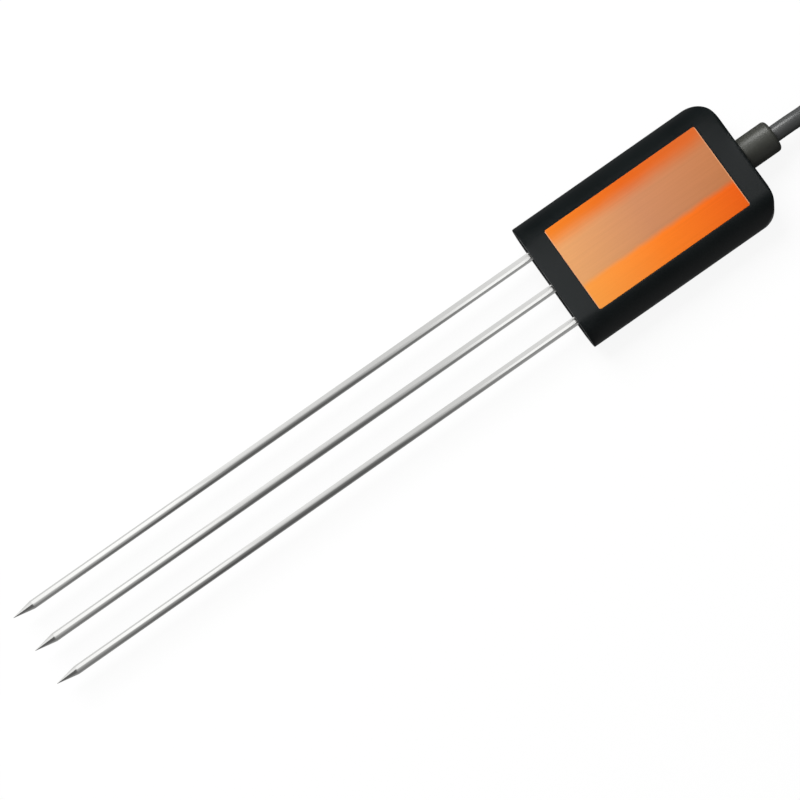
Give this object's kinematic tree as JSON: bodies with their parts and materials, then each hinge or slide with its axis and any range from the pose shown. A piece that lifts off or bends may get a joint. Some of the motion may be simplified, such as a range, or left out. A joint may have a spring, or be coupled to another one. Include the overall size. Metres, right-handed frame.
{
  "type": "soil probe",
  "caption": "Flat potted soil temperature and moisture probe with pointed steel needles at one end and a coiled cable with stripped cores at the other.",
  "frame": {"origin": "middle of the housing's flat back, on the surface that the probe lies on", "axes": "+X from the needles to the cable, +Y to the left needle, +Z out of the label"},
  "size_m": [0.3843, 0.0772, 0.0289],
  "materials": {
    "housing_plastic": "satin moulded black",
    "label_film": "orange printed film",
    "epoxy": "cast black epoxy",
    "needle_steel": "polished stainless steel",
    "solder": "tinned",
    "bead_glass": "coated bead",
    "lead_wire": "enamelled wire",
    "filler_paste": "cured heat paste",
    "board_laminate": "green solder mask",
    "chip_plastic": "moulded chip",
    "ferrite": "ferrite",
    "capacitor_plastic": "moulded capacitor",
    "crystal_can": "plain can",
    "chip_ceramic": "fired ceramic",
    "brown_core": "core insulation",
    "black_core": "core insulation",
    "yellow_core": "core insulation",
    "blue_core": "core insulation",
    "relief_rubber": "matt moulded grey",
    "stop_nylon": "natural nylon",
    "cable_jacket": "dark grey PVC jacket",
    "tie_nylon": "black nylon"
  },
  "bodies": {
    "root": {"housing_shell": "housing_plastic", "needle_plate": "housing_plastic", "front_label": "label_film", "potting_block": "epoxy", "needle_left": "needle_steel", "needle_centre": "needle_steel", "needle_right": "needle_steel", "needle_solder": "solder", "thermistor_bead": "bead_glass", "thermistor_leads": "lead_wire", "heat_filler": "filler_paste", "circuit_board": "board_laminate", "microcontroller": "chip_plastic", "bus_transceiver": "chip_plastic", "voltage_regulator": "chip_plastic", "power_inductor": "ferrite", "bulk_capacitor": "capacitor_plastic", "clock_crystal": "crystal_can", "surge_diodes": "chip_plastic", "chip_capacitors": "chip_ceramic", "chip_resistors": "chip_ceramic", "core_solder": "solder", "core_brown": "brown_core", "core_black": "black_core", "core_yellow": "yellow_core", "core_blue": "blue_core", "strain_relief": "relief_rubber", "cable_stop": "stop_nylon", "cable_inner": "cable_jacket", "cable_run": "cable_jacket", "cable_coil": "cable_jacket", "coil_tie": "tie_nylon", "tail_brown": "brown_core", "tail_black": "black_core", "tail_yellow": "yellow_core", "tail_blue": "blue_core", "tail_ends": "solder"}
  },
  "joints": []
}
